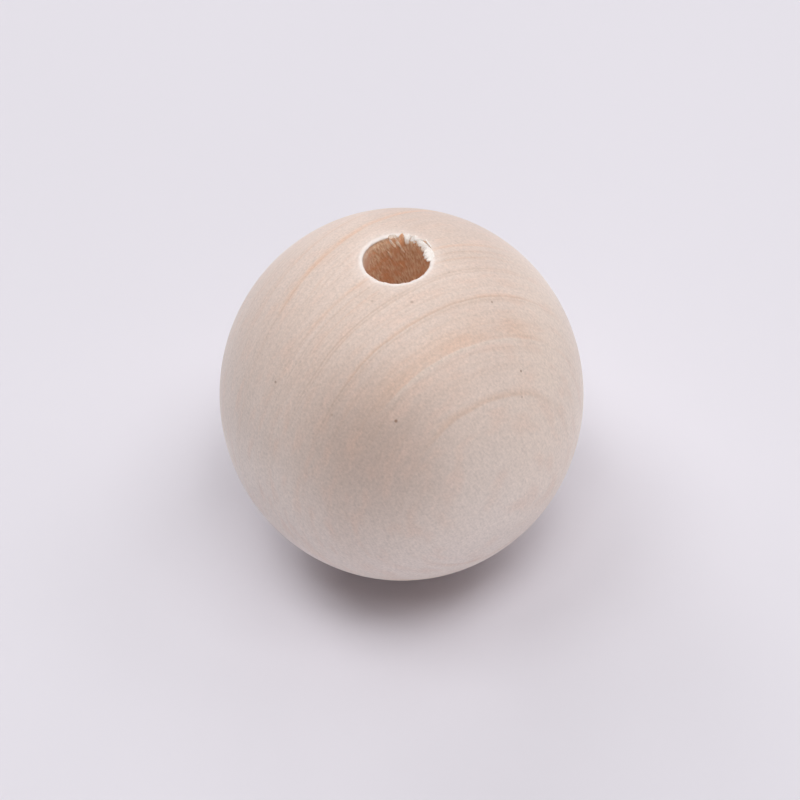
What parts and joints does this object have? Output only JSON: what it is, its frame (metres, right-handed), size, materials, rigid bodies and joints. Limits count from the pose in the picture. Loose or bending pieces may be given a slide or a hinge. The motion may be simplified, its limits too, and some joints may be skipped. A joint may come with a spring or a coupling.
{
  "type": "drilled wooden ball",
  "caption": "Turned ball of pale raw wood with a hole drilled straight through it and a torn rim at one mouth; it stands on the rim of the hole.",
  "frame": {"origin": "the ball's centre, halfway along the drilled hole", "axes": "+Z along the hole, towards the mouth with the torn rim; the torn stretch lies between +X and +Y"},
  "size_m": [0.04, 0.04, 0.0412],
  "materials": {
    "wood": "raw, turned and fine-sanded, with no lacquer"
  },
  "bodies": {
    "root": {"ball": "wood"}
  },
  "joints": []
}
